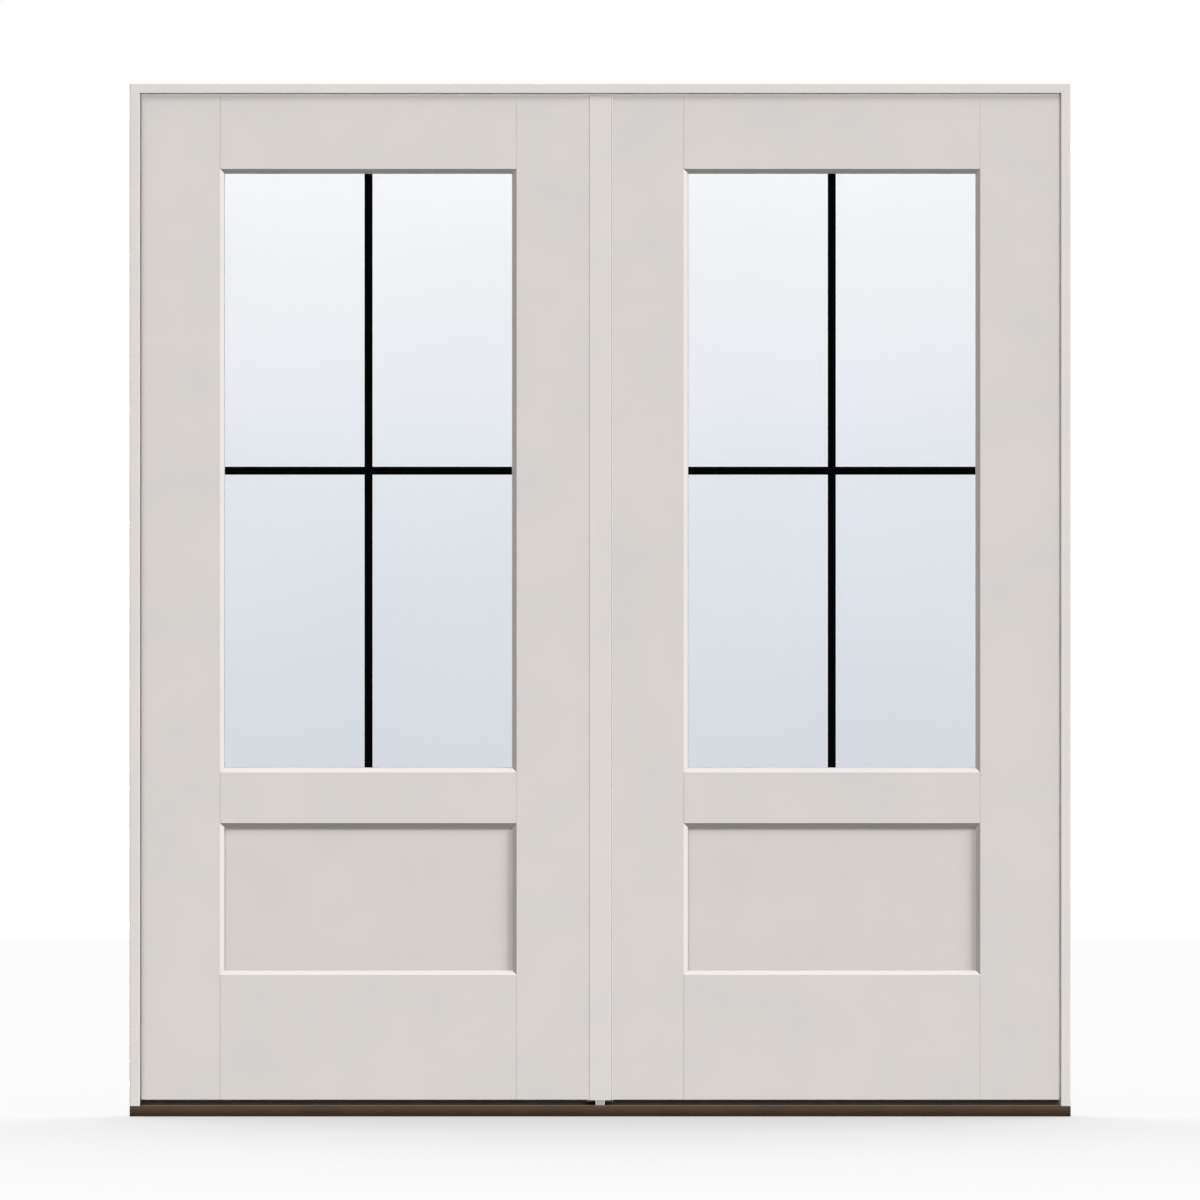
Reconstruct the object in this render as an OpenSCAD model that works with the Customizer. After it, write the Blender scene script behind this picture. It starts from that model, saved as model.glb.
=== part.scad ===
// French doors: a pair of glazed, panelled leaves that open inward from a rebated frame on a sill.
// Millimetres. X runs along the width, Z up, -Y is the outside face.
// The origin is the middle of the sill's underside. The left leaf is the passive one, and it
// carries the centre post with its two flush bolts. The right leaf is the active one.

/* [Unit] */
// overall width over the jambs
unit_w = 1882; // [1400:1:2400]
// overall height from the sill's underside to the top of the head
unit_h = 2066; // [1900:1:2500]
// depth of jambs, head and sill
frame_depth = 66; // [62:0.5:140]

/* [Frame] */
// width of jambs and head seen from outside
frame_face = 20; // [17:0.5:40]
// how far the rebate for the leaves is cut into jambs and head
rebate_d = 8; // [6:0.5:12]
// rounding of the frame's inner front edge
edge_round = 2; // [2:0.5:9]
// space that the weatherstrip fills between the stop and the closed leaf
seal_gap = 4; // [3:0.5:9]
// how far the weatherstrip shows beyond the stop
seal_show = 3; // [1:0.5:6]
// width of the groove that holds the weatherstrip's barb
kerf_w = 3; // [2:0.5:4]
// depth of the groove that holds the weatherstrip's barb
kerf_d = 4.5; // [3:0.5:6]
// radius of the holes for the frame's wall screws
fixing_r = 2.75; // [2:0.25:4]
// distance of the lower wall screws above the sill
fixing_low = 160; // [100:5:300]
// distance of the upper wall screws below the frame's top
fixing_high = 205; // [120:5:400]

/* [Sill] */
// height of the sill
sill_h = 21; // [16:0.5:40]
// how far the sill's front bulges
nose_bulge = 2.5; // [1:0.5:4]
// wall of the sill's metal deck
deck_t = 2.2; // [1.5:0.1:4]
// height of the riser on the deck
riser_h = 7; // [5:0.5:12]
// depth of the riser
riser_w = 30; // [24:0.5:40]
// width of the strike block that stands under the centre post
strike_w = 17.6; // [16:0.2:30]

/* [Leaves] */
// thickness of the leaves
leaf_t = 44.5; // [40:0.5:56]
// gap between a leaf's edge and the frame
edge_gap = 3; // [2:0.25:5]
// height of the leaves above the sill deck
foot_gap = 12; // [10:0.5:18]
// face width of the hinge stiles
hinge_stile_w = 165; // [110:1:200]
// face width of the passive leaf's meeting stile
meeting_stile_w = 145; // [90:1:180]
// face height of the top rails
top_rail_h = 155; // [100:1:220]
// face height of the lock rails
lock_rail_h = 101.5; // [80:0.5:220]
// face height of the bottom rails
bottom_rail_h = 249.5; // [150:0.5:350]
// height of the lower panel openings
panel_h = 304; // [150:1:600]

/* [Moulding] */
// width of the bevel round each opening
bevel_w = 8.5; // [5:0.5:11]
// depth of the bevel round each opening
bevel_d = 6; // [4:0.5:9]
// straight edge behind the bevel
quirk_h = 8; // [1:0.5:9]
// depth of the groove for panel and tenons
groove_d = 13; // [12:0.5:20]
// easing of the rails' shoulders, which draws the joint lines
shoulder_ease = 0.9; // [0.3:0.1:1.5]
// play of panel and tenons in the grooves
joint_play = 0.1; // [0.05:0.05:0.4]

/* [Glazing] */
// thickness of one pane
pane_t = 3; // [3:0.5:5]
// space between the panes
air_gap = 12; // [8:0.5:14]
// thickness of the bedding tape
tape_t = 1; // [0.5:0.1:2]
// play between the panes' edges and the rebate
glass_play = 2.5; // [1.5:0.5:4]
// height of the spacer between the panes
spacer_h = 7; // [5:0.5:9]
// width of the grille bars
bar_w = 16; // [10:0.5:30]
// thickness of the grille bars
bar_t = 6; // [4:0.5:8]

/* [Centre post] */
// width of the centre post
post_w = 44; // [36:0.5:70]
// how far the post stands in front of the leaves
post_proud = 4.5; // [2:0.5:5]
// gap between the post and the active leaf
post_gap = 3; // [2.5:0.25:5]
// radius of the flush bolts
bolt_r = 4; // [3:0.25:5]
// length of the flush bolts
bolt_len = 170; // [120:5:300]
// travel of the flush bolts
bolt_throw = 12; // [8:0.5:16]
// radial play of the flush bolts in the post
bolt_play = 0.1; // [0.05:0.01:0.1]

/* [Hinges] */
// height of a hinge
hinge_h = 101; // [80:1:130]
// thickness of a hinge plate
plate_t = 2.4; // [1.8:0.1:3]
// wood left between the hinge plate and the leaf's outer face
backset = 7.5; // [5:0.5:15]
// radius of the hinge barrel
barrel_r = 6.5; // [5.5:0.1:7]
// radius of the hinge pin
pin_r = 4; // [3:0.1:4.5]
// radial play of the pin in its knuckles
pin_play = 0.05; // [0.02:0.01:0.1]
// end play between knuckles
knuckle_play = 0.4; // [0.2:0.1:0.8]
// top hinge, from the leaf's top to the hinge's top
hinge_top = 178; // [120:1:250]
// bottom hinge, from the leaf's bottom to the hinge's bottom
hinge_bottom = 279; // [150:1:350]
// radius of the hinge screws
screw_r = 2.3; // [2:0.1:2.8]
// length of the screws in the leaves
leaf_screw_len = 30; // [20:1:50]

/* [Hidden] */
$fn = 48;
tiny = 0.01;
// how far a cut runs past the surface it opens
over = 1;
// gap between pieces that are laid beside each other
loose = 0.3;
// Frame planes. Sections are drawn from the outer edge, so u runs inward and y runs back.
half_w = unit_w / 2;
front_y = -frame_depth / 2;
back_y = frame_depth / 2;
frame_back = frame_face - rebate_d;
leaf_y0 = back_y - leaf_t;
leaf_y1 = back_y;
stop_y = leaf_y0 - seal_gap;
seal_clear = 0.2;
kerf_u = frame_back + (rebate_d - kerf_w) / 2;
barb_gap = 0.5;
edge_ease = 1.5;
mitre_reach = frame_face + seal_show + over;
fixing_wall = 1.25;
fixing_y = stop_y - kerf_d - fixing_wall - fixing_r;
fixings = 4;
fixing_pitch = (unit_h - fixing_high - sill_h - fixing_low) / (fixings - 1);
fixing_z = [for (i = [0:fixings - 1]) sill_h + fixing_low + i * fixing_pitch];
nose_r = (sill_h * sill_h / 4 + nose_bulge * nose_bulge) / (2 * nose_bulge);
// Leaf planes, drawn for the left leaf. The right leaf is its mirror image.
leaf_x0 = -half_w + frame_back + edge_gap;
leaf_z0 = sill_h + foot_gap;
leaf_z1 = unit_h - frame_back - edge_gap;
sight_x0 = leaf_x0 + hinge_stile_w;
sight_x1 = -post_w / 2 - meeting_stile_w;
panel_z0 = leaf_z0 + bottom_rail_h;
panel_z1 = panel_z0 + panel_h;
glass_z0 = panel_z1 + lock_rail_h;
glass_z1 = leaf_z1 - top_rail_h;
lip_t = bevel_d + quirk_h;
bite = groove_d - bevel_w;
// Glazing planes, from outside to inside.
rebate_y = leaf_y0 + lip_t;
pane_y0 = rebate_y + tape_t;
air_y0 = pane_y0 + pane_t;
pane_y1 = air_y0 + air_gap;
bead_y = pane_y1 + pane_t;
glass_x0 = sight_x0 - bite;
glass_x1 = sight_x1 + bite;
glass_zb = glass_z0 - bite;
glass_zt = glass_z1 + bite;
pane_x0 = glass_x0 + glass_play;
pane_x1 = glass_x1 - glass_play;
pane_zb = glass_zb + glass_play;
pane_zt = glass_zt - glass_play;
spacer_in = 1.5;
spacer_edge = spacer_in + spacer_h;
bar_y = air_y0 + air_gap / 2;
tape_show = 1;
panel_play = 1;
bars_x = (pane_x0 + pane_x1) / 2;
bars_z = (pane_zb + pane_zt) / 2;
// Underside of the leaves: sweep on the leaf, riser on the sill.
sweep_t = 2.5;
sweep_play = 0.3;
riser_back = 2;
riser_round = 2;
riser_y0 = leaf_y1 - riser_w - riser_back;
riser_top = sill_h + min(riser_h, foot_gap - sweep_t - sweep_play);
sweep_start = 2;
sweep_end = 0.5;
sweep_in = 2.5;
sweep_fins = 3;
fin_t = 2;
// Hinges. The pin stands clear of the leaf's inner face, midway in the edge gap.
pin_x = leaf_x0 - edge_gap / 2;
pin_off = 0.5;
pin_y = leaf_y1 + barrel_r + pin_off;
plate_y0 = leaf_y0 + backset;
hinge_zt = leaf_z1 - hinge_top - hinge_h / 2;
hinge_zb = leaf_z0 + hinge_bottom + hinge_h / 2;
hinge_z = [hinge_zt, (hinge_zt + hinge_zb) / 2, hinge_zb];
knuckles = 5;
knuckle_h = hinge_h / knuckles;
plate_play = 0.1;
head_flare = 2;
head_r = screw_r + head_flare;
screw_clear = 0.1;
wood_left = 0.5;
jamb_screw_len = frame_back - wood_left;
screw_edge = 9;
screw_rows = 15.5;
screw_end = 12;
screw_mid = 14;
screw_y = [plate_y0 + screw_edge, plate_y0 + screw_edge + screw_rows];
screw_out = hinge_h / 2 - screw_end;
screw_z = [-screw_out, -screw_mid, screw_mid, screw_out];
pin_head_in = 1;
pin_head_r = barrel_r - pin_head_in;
pin_head_h = 3;
// Centre post and bolts.
post_x = post_w / 2;
post_y0 = leaf_y0 - post_proud;
post_back = 2;
post_y1 = leaf_y1 - post_back;
post_drop = 1;
post_foot = leaf_z0 - post_drop;
neck_gap = 0.6;
post_neck = unit_h - frame_face - seal_show - neck_gap;
post_key = 4;
post_round = 1.2;
bolt_off = 3;
bolt_y = (leaf_y0 + leaf_y1) / 2 - bolt_off;
socket_play = 1.5;
socket_half = bolt_r + socket_play;
bolt_tip = 1;
thumb_h = 14;
thumb_w = 7;
thumb_at = 70;
thumb_in = 2;
thumb_end = 1;
way_out = 5;
socket_spare = 0.8;
socket_z = leaf_z0 + bolt_tip - bolt_throw - socket_spare;
strike_gap = 0.5;
strike_in = 3;
strike_top = post_foot - strike_gap;
strike_y0 = post_y0 + strike_in;
strike_y1 = riser_y0 + riser_w;
keeper_w = 40;
post_screws = 6;
post_screw_len = 40;
post_screw_end = 110;
post_screw_pitch = (leaf_z1 - leaf_z0 - 2 * post_screw_end) / (post_screws - 1);
post_screw_r = 2.5;
post_bore_r = 5;
post_seat = 16;
post_head_h = 3;
post_head_play = 0.7;
post_screw_in = 12.5;
post_screw_y = post_y1 - post_screw_in;
meet_seal = 1.3;
meet_kerf_d = 5;
meet_kerf_w = 3;
meet_kerf_y = post_y1 - 6;
meet_end = 2;

SIDES = ["passive", "active"];
PLACES = ["top", "middle", "bottom"];

// The right leaf and jamb are mirror images of the left ones.
module on_side(s) {
    if (s == "active") mirror([1, 0, 0]) children();
    else children();
}

// A box given by two opposite corners.
module box(a, b) {
    translate(a) cube(b - a);
}

// Extrudes a section drawn in y and z along X from x0 to x1.
module along_x(x0, x1) {
    translate([x0, 0, 0]) rotate([90, 0, 90]) linear_extrude(x1 - x0) children();
}

// What is cut away to round a section's corner, which sits at the origin with the material
// towards +x and +y.
module round_cut(r) {
    difference() {
        translate([-tiny, -tiny]) square(r + tiny);
        translate([r, r]) circle(r);
    }
}

// Frame

// Jamb and head share one section, so that they meet in a mitre. This is its front with the stop.
module stop_section() {
    difference() {
        translate([0, front_y]) square([frame_face, stop_y - front_y]);
        translate([frame_face, front_y]) mirror([1, 0]) round_cut(edge_round);
        translate([0, front_y]) round_cut(edge_ease);
        translate([kerf_u, stop_y - kerf_d]) square([kerf_w, kerf_d + over]);
    }
}

// The section's rear, behind the stop, set back from it by gap.
module rear_section(gap) {
    translate([0, stop_y + gap]) square([frame_back, back_y - stop_y - gap]);
}

module frame_section() {
    stop_section();
    rear_section(0);
}

module seal_section() {
    r = (seal_gap - seal_clear) / 2;
    u0 = frame_back + loose;
    u1 = frame_face + seal_show;
    translate([u0, stop_y]) square([u1 - r - u0, 2 * r]);
    translate([u1 - r, stop_y + r]) circle(r);
    translate([kerf_u + joint_play, stop_y - kerf_d + barb_gap])
        square([kerf_w - 2 * joint_play, kerf_d]);
}

// Everything outside the left mitre, for cutting an upright.
module above_mitre() {
    d = mitre_reach;
    translate([0, back_y + over, 0]) rotate([90, 0, 0]) linear_extrude(frame_depth + 2 * over)
        polygon([
            [-half_w - over, unit_h + over], [-half_w + d, unit_h - d],
            [-half_w + d, unit_h + over]
        ]);
}

// Everything below the left mitre, for cutting the head.
module below_mitre() {
    d = mitre_reach;
    translate([0, back_y + over, 0]) rotate([90, 0, 0]) linear_extrude(frame_depth + 2 * over)
        polygon([
            [-half_w - over, unit_h + over], [-half_w - over, unit_h - d],
            [-half_w + d, unit_h - d]
        ]);
}

module upright() {
    difference() {
        translate([-half_w, 0, sill_h]) linear_extrude(unit_h - sill_h) children();
        above_mitre();
    }
}

module crosspiece() {
    difference() {
        translate([-half_w, 0, unit_h]) rotate([0, 90, 0]) linear_extrude(unit_w) children();
        below_mitre();
        mirror([1, 0, 0]) below_mitre();
    }
}

module jamb(s) {
    color("#ddd8d4") on_side(s) difference() {
        upright() frame_section();
        for (z = hinge_z) {
            jamb_mortise(z);
            jamb_screws(z, screw_clear, over);
        }
        for (z = fixing_z)
            translate([-half_w - over, fixing_y, z]) rotate([0, 90, 0])
                cylinder(r = fixing_r, h = frame_face + 2 * over);
    }
}

// The head is a front member with the stop and two rear boards, which meet the keeper block.
module head_jamb() {
    z = unit_h - frame_back;
    color("#ddd8d4") {
        crosspiece() stop_section();
        difference() {
            crosspiece() rear_section(joint_play);
            box([-keeper_w / 2, front_y, z - over], [keeper_w / 2, back_y + over, unit_h + over]);
        }
    }
}

module head_strike() {
    x = keeper_w / 2 - joint_play;
    z = unit_h - frame_back;
    color("#b4b0ac") difference() {
        box([-x, stop_y + joint_play, z], [x, back_y, unit_h]);
        bolt_socket(z - over, unit_h + over);
    }
}

module weatherstrip(s) {
    color("#b5b1ad") on_side(s) upright() seal_section();
}

module head_weatherstrip() {
    color("#b5b1ad") crosspiece() seal_section();
}

// Sill

// Deck outline with its bowed front.
module sill_outline() {
    translate([front_y, 0]) square([frame_depth, sill_h]);
    intersection() {
        translate([front_y + nose_r - nose_bulge, sill_h / 2]) circle(nose_r, $fn = 180);
        translate([front_y - nose_bulge - over, 0]) square([nose_bulge + 2 * over, sill_h]);
    }
}

module sill_deck() {
    color("#5c4d41") difference() {
        along_x(-half_w, half_w) difference() {
            sill_outline();
            translate([front_y + deck_t, -over]) square([frame_depth, sill_h - deck_t + over]);
        }
        bolt_socket(socket_z, strike_top);
    }
}

module sill_core() {
    color("#8c8579") difference() {
        box([-half_w, front_y + deck_t, 0], [half_w, back_y, sill_h - deck_t]);
        bolt_socket(socket_z, strike_top);
    }
}

// Square hole that a bolt shoots into, between two heights.
module bolt_socket(z0, z1) {
    h = socket_half;
    box([-h, bolt_y - h, z0], [h, bolt_y + h, z1]);
}

// The riser stops on both sides of the strike block.
module threshold_riser() {
    w = half_w - frame_back - loose;
    y1 = riser_y0 + riser_w;
    h = riser_top - sill_h;
    c = strike_w / 2 + loose;
    color("#3a3632") for (x = [[-w, -c], [c, w]]) along_x(x[0], x[1]) difference() {
        translate([riser_y0, sill_h]) square([riser_w, h]);
        translate([riser_y0, riser_top]) mirror([0, 1]) round_cut(riser_round);
        translate([y1, riser_top]) mirror([1, 0]) mirror([0, 1]) round_cut(riser_round);
    }
}

module sill_strike() {
    c = strike_w / 2;
    color("#b4b0ac") difference() {
        box([-c, strike_y0, sill_h], [c, strike_y1, strike_top]);
        bolt_socket(sill_h - over, strike_top + over);
    }
}

// Hinges, drawn for the left jamb at one height

module jamb_mortise(z) {
    x = pin_x - edge_gap / 2;
    h = hinge_h / 2 + plate_play;
    box([x - plate_t, plate_y0 - plate_play, z - h], [x + over, back_y + over, z + h]);
}

module door_mortise(z) {
    x = pin_x + edge_gap / 2;
    h = hinge_h / 2 + plate_play;
    box([x - over, plate_y0 - plate_play, z - h], [x + plate_t, leaf_y1 + over, z + h]);
}

// One countersunk screw that goes in along +X, head flush at x = 0, or the hole for it, which is
// wider by clear and opens above the head by lift.
module screw(len, clear, lift) {
    rotate([0, 90, 0]) {
        cylinder(r = screw_r + clear, h = len + clear);
        cylinder(r1 = head_r + clear, r2 = screw_r + clear, h = head_r - screw_r);
        if (lift > 0) translate([0, 0, -lift]) cylinder(r = head_r + clear, h = lift + tiny);
    }
}

module screw_spots(z) {
    for (i = [0:3]) translate([0, screw_y[i % 2], z + screw_z[i]]) children();
}

module jamb_screws(z, clear, lift) {
    screw_spots(z) translate([pin_x - edge_gap / 2, 0, 0]) mirror([1, 0, 0])
        screw(jamb_screw_len, clear, lift);
}

module door_screws(z, clear, lift) {
    screw_spots(z) translate([pin_x + edge_gap / 2, 0, 0]) screw(leaf_screw_len, clear, lift);
}

// A round piece of knuckle k, counted from the bottom, grown by g all round.
module knuckle(z, k, g) {
    p = knuckle_play / 2;
    translate([pin_x, pin_y, z - hinge_h / 2 + k * knuckle_h + p - g])
        cylinder(r = barrel_r + g, h = knuckle_h - 2 * p + 2 * g);
}

// A plate with the knuckles first, first + 2 and so on, cut clear of the other plate's knuckles.
module hinge_plate(z, x0, first) {
    difference() {
        union() {
            box([x0, plate_y0, z - hinge_h / 2], [x0 + plate_t, pin_y, z + hinge_h / 2]);
            for (k = [first:2:knuckles - 1]) knuckle(z, k, 0);
        }
        for (k = [1 - first:2:knuckles - 1]) knuckle(z, k, knuckle_play);
        translate([pin_x, pin_y, z - hinge_h]) cylinder(r = pin_r + pin_play, h = 2 * hinge_h);
        if (first == 0) jamb_screws(z, screw_clear, over);
        else door_screws(z, screw_clear, over);
    }
}

module hinge_jamb_plate(s, i) {
    color("#a9a8a4") on_side(s) hinge_plate(hinge_z[i], pin_x - edge_gap / 2 - plate_t, 0);
}

module hinge_door_plate(s, i) {
    color("#a9a8a4") on_side(s) hinge_plate(hinge_z[i], pin_x + edge_gap / 2, 1);
}

module hinge_pins() {
    color("#a9a8a4") for (s = SIDES) on_side(s) for (z = hinge_z)
        translate([pin_x, pin_y, z - hinge_h / 2]) {
            translate([0, 0, -pin_head_h]) cylinder(r = pin_head_r, h = pin_head_h);
            translate([0, 0, -tiny]) cylinder(r = pin_r, h = hinge_h + 2 * tiny);
            translate([0, 0, hinge_h]) cylinder(r = pin_head_r, h = pin_head_h);
        }
}

module jamb_hinge_screws() {
    color("#b9b9b6") for (s = SIDES) on_side(s) for (z = hinge_z) jamb_screws(z, 0, 0);
}

module hinge_screws(s) {
    color("#b9b9b6") on_side(s) for (z = hinge_z) door_screws(z, 0, 0);
}

// Leaves, drawn as the left one

// Meeting edge of a leaf: the post is screwed to the passive one.
function meet_x(s) = s == "passive" ? -post_x : -post_x - post_gap;

// The moulded edge of a stile or rail, from the outer face to the inner one.
// p is the sight line and d the direction in which the moulding reaches into the opening.
function moulded(p, d) = [
    [p, leaf_y0], [p + d * bevel_w, leaf_y0 + bevel_d], [p + d * bevel_w, leaf_y0 + lip_t],
    [p - d * bite, leaf_y0 + lip_t], [p - d * bite, leaf_y1 - lip_t],
    [p + d * bevel_w, leaf_y1 - lip_t], [p + d * bevel_w, leaf_y1 - bevel_d], [p, leaf_y1]
];
function swap(pts) = [for (p = pts) [p[1], p[0]]];
function back(pts) = [for (i = [len(pts) - 1:-1:0]) pts[i]];

module hinge_stile_section() {
    polygon(concat([[leaf_x0, leaf_y1], [leaf_x0, leaf_y0]], moulded(sight_x0, 1)));
}

module meeting_stile_section(s) {
    x = meet_x(s);
    polygon(concat([[x, leaf_y1], [x, leaf_y0]], moulded(sight_x1, -1)));
}

module full_height() {
    translate([0, 0, leaf_z0]) linear_extrude(leaf_z1 - leaf_z0) children();
}

// Space for the glass and its beads, cut from the inside.
module glass_rebate() {
    box([glass_x0, rebate_y, glass_zb], [glass_x1, leaf_y1 + over, glass_zt]);
}

module hinge_stile(s) {
    color("#d7d2ce") on_side(s) difference() {
        full_height() hinge_stile_section();
        glass_rebate();
        for (z = hinge_z) {
            door_mortise(z);
            door_screws(z, screw_clear, over);
        }
    }
}

module meeting_stile(s) {
    color("#d7d2ce") on_side(s) difference() {
        full_height() meeting_stile_section(s);
        glass_rebate();
        if (s == "passive") post_screw_set(screw_clear);
    }
}

// Cuts that ease the rails' shoulders on both faces where they meet the stiles.
module shoulder_lines(z0, z1) {
    e = shoulder_ease;
    for (x = [sight_x0, sight_x1]) for (y = [leaf_y0, leaf_y1])
        translate([x, y, z0 - over]) linear_extrude(z1 - z0 + 2 * over)
            polygon([[-e, 0], [0, -e], [e, 0], [0, e]]);
}

// A rail coped over both stiles, with stub tenons in their grooves.
module rail(s, z0, z1) {
    color("#d7d2ce") on_side(s) difference() {
        along_x(sight_x0 - bite + joint_play, sight_x1 + bite - joint_play) children();
        full_height() hinge_stile_section();
        full_height() meeting_stile_section(s);
        glass_rebate();
        shoulder_lines(z0, z1);
    }
}

module top_rail(s) {
    rail(s, glass_z1, leaf_z1)
        polygon(concat([[leaf_y0, leaf_z1], [leaf_y1, leaf_z1]], back(swap(moulded(glass_z1, -1)))));
}

module lock_rail(s) {
    rail(s, panel_z1, glass_z0)
        polygon(concat(swap(moulded(glass_z0, 1)), back(swap(moulded(panel_z1, -1)))));
}

module bottom_rail(s) {
    rail(s, leaf_z0, panel_z0)
        polygon(concat([[leaf_y1, leaf_z0], [leaf_y0, leaf_z0]], swap(moulded(panel_z0, 1))));
}

module panel(s) {
    p = joint_play;
    b = bite - panel_play;
    color("#d6d0c9") on_side(s)
        box([sight_x0 - b, leaf_y0 + lip_t + p, panel_z0 - b],
            [sight_x1 + b, leaf_y1 - lip_t - p, panel_z1 + b]);
}

// Glazing

// A rectangular ring of width w between two planes.
module ring(x0, z0, x1, z1, w, y0, y1) {
    difference() {
        box([x0, y0, z0], [x1, y1, z1]);
        box([x0 + w, y0 - over, z0 + w], [x1 - w, y1 + over, z1 - w]);
    }
}

module pane(s, y) {
    color("#dfe5ea", 0.5) on_side(s) box([pane_x0, y, pane_zb], [pane_x1, y + pane_t, pane_zt]);
}

module spacer(s) {
    i = spacer_in;
    color("#9a9a98") on_side(s)
        ring(pane_x0 + i, pane_zb + i, pane_x1 - i, pane_zt - i, spacer_h, air_y0, pane_y1);
}

module glazing_tape(s) {
    w = groove_d - glass_play + tape_show;
    color("#c9c8c5") on_side(s)
        ring(pane_x0, pane_zb, pane_x1, pane_zt, w, rebate_y, rebate_y + tape_t);
}

module grille_upright(s) {
    b = bar_w / 2;
    color("#030708") on_side(s) difference() {
        box([bars_x - b, bar_y - bar_t / 2, pane_zb + spacer_edge],
            [bars_x + b, bar_y + bar_t / 2, pane_zt - spacer_edge]);
        box([bars_x - b - over, bar_y, bars_z - b], [bars_x + b + over, bar_y + bar_t, bars_z + b]);
    }
}

module grille_crossbar(s) {
    b = bar_w / 2;
    color("#030708") on_side(s) difference() {
        box([pane_x0 + spacer_edge, bar_y - bar_t / 2, bars_z - b],
            [pane_x1 - spacer_edge, bar_y + bar_t / 2, bars_z + b]);
        box([bars_x - b, bar_y - bar_t, bars_z - b - over], [bars_x + b, bar_y, bars_z + b + over]);
    }
}

// Bead section, from the rebate's wall at p with its moulding towards d.
function bead(p, d) = [
    [p - d * bite, bead_y], [p + d * bevel_w, bead_y],
    [p + d * bevel_w, leaf_y1 - bevel_d], [p, leaf_y1], [p - d * bite, leaf_y1]
];

// One side of the rebate's outline between its mitres, for trimming a bead.
module mitre_field(corners) {
    translate([0, leaf_y1 + over, 0]) rotate([90, 0, 0]) linear_extrude(leaf_t) polygon(corners);
}

module glazing_beads(s) {
    g = groove_d + loose;
    p = joint_play;
    a = [glass_x0, glass_zb];
    b = [glass_x1, glass_zb];
    c = [glass_x1, glass_zt];
    d = [glass_x0, glass_zt];
    color("#d7d2ce") on_side(s) {
        intersection() {
            translate([0, 0, glass_zb]) linear_extrude(glass_zt - glass_zb)
                polygon(bead(sight_x0, 1));
            mitre_field([a + [0, p], a + [g, g + p], d + [g, -g - p], d + [0, -p]]);
        }
        intersection() {
            translate([0, 0, glass_zb]) linear_extrude(glass_zt - glass_zb)
                polygon(bead(sight_x1, -1));
            mitre_field([b + [0, p], b + [-g, g + p], c + [-g, -g - p], c + [0, -p]]);
        }
        intersection() {
            along_x(glass_x0, glass_x1) polygon(swap(bead(glass_z0, 1)));
            mitre_field([a, b, b + [-g, g], a + [g, g]]);
        }
        intersection() {
            along_x(glass_x0, glass_x1) polygon(swap(bead(glass_z1, -1)));
            mitre_field([d, c, c + [-g, -g], d + [g, -g]]);
        }
    }
}

module sweep(s) {
    x0 = leaf_x0 + sweep_start;
    x1 = -post_x - post_gap - sweep_end;
    fin = riser_top + sweep_play;
    color("#2b2826") on_side(s) along_x(x0, x1) {
        translate([leaf_y0 + sweep_in, leaf_z0 - sweep_t]) square([leaf_t - 2 * sweep_in, sweep_t]);
        for (i = [1:sweep_fins])
            translate([riser_y0 + i * riser_w / (sweep_fins + 1) - fin_t / 2, fin])
                square([fin_t, leaf_z0 - fin - tiny]);
    }
}

// Centre post

// Spots of the screws that hold the post to the passive leaf.
module post_screw_set(clear) {
    for (i = [0:post_screws - 1])
        translate([-post_x + post_seat, post_screw_y, leaf_z0 + post_screw_end + i * post_screw_pitch])
            mirror([1, 0, 0]) rotate([0, 90, 0]) {
                translate([0, 0, -tiny])
                    cylinder(r = post_screw_r + clear, h = post_screw_len + clear + tiny);
                if (clear > 0) translate([0, 0, -post_w]) cylinder(r = post_bore_r, h = post_w);
                else translate([0, 0, -post_head_h])
                    cylinder(r = post_bore_r - post_head_play, h = post_head_h);
            }
}

// Bore and thumb slot of one bolt, for the end at z with its travel towards d.
module bolt_way(z, d) {
    r = bolt_r + bolt_play;
    c = z - d * (bolt_tip + thumb_at);
    lo = min(c, c + d * bolt_throw) - thumb_h / 2 - thumb_end;
    hi = max(c, c + d * bolt_throw) + thumb_h / 2 + thumb_end;
    e = z - d * (bolt_tip + bolt_len + over);
    o = z + d * way_out;
    translate([0, bolt_y, min(e, o)]) cylinder(r = r, h = abs(o - e));
    box([0, bolt_y - thumb_w / 2 - loose, lo], [post_x + over, bolt_y + thumb_w / 2 + loose, hi]);
}

module bolt(z, d) {
    c = z - d * (bolt_tip + thumb_at);
    e = z - d * (bolt_tip + bolt_len);
    t = z - d * bolt_tip;
    color("#b9b9b6") {
        translate([0, bolt_y, min(e, t)]) cylinder(r = bolt_r, h = bolt_len);
        box([0, bolt_y - thumb_w / 2, c - thumb_h / 2],
            [post_x - thumb_in, bolt_y + thumb_w / 2, c + thumb_h / 2]);
    }
}

module astragal_post() {
    color("#dbd6d2") difference() {
        union() {
            translate([0, 0, leaf_z0]) linear_extrude(leaf_z1 - leaf_z0)
                translate([-post_x, leaf_y0]) square([post_w, post_y1 - leaf_y0]);
            translate([0, 0, post_foot]) linear_extrude(post_neck - post_foot) difference() {
                translate([-post_x, post_y0]) square([post_w, post_proud + post_key]);
                translate([-post_x, post_y0]) round_cut(post_round);
                translate([post_x, post_y0]) mirror([1, 0]) round_cut(post_round);
            }
        }
        bolt_way(leaf_z1, 1);
        bolt_way(leaf_z0, -1);
        post_screw_set(screw_clear);
        box([post_x - meet_kerf_d, meet_kerf_y, leaf_z0 - over],
            [post_x + over, meet_kerf_y + meet_kerf_w, leaf_z1 + over]);
    }
}

module astragal_seal() {
    p = joint_play;
    z0 = leaf_z0 + meet_end;
    color("#7d7a77") translate([0, 0, z0]) linear_extrude(leaf_z1 - meet_end - z0) {
        translate([post_x - meet_kerf_d + p, meet_kerf_y + p]) square([meet_kerf_d - p, meet_kerf_w - 2 * p]);
        translate([post_x - p, meet_kerf_y + meet_kerf_w / 2]) circle(meet_seal);
    }
}

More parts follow.
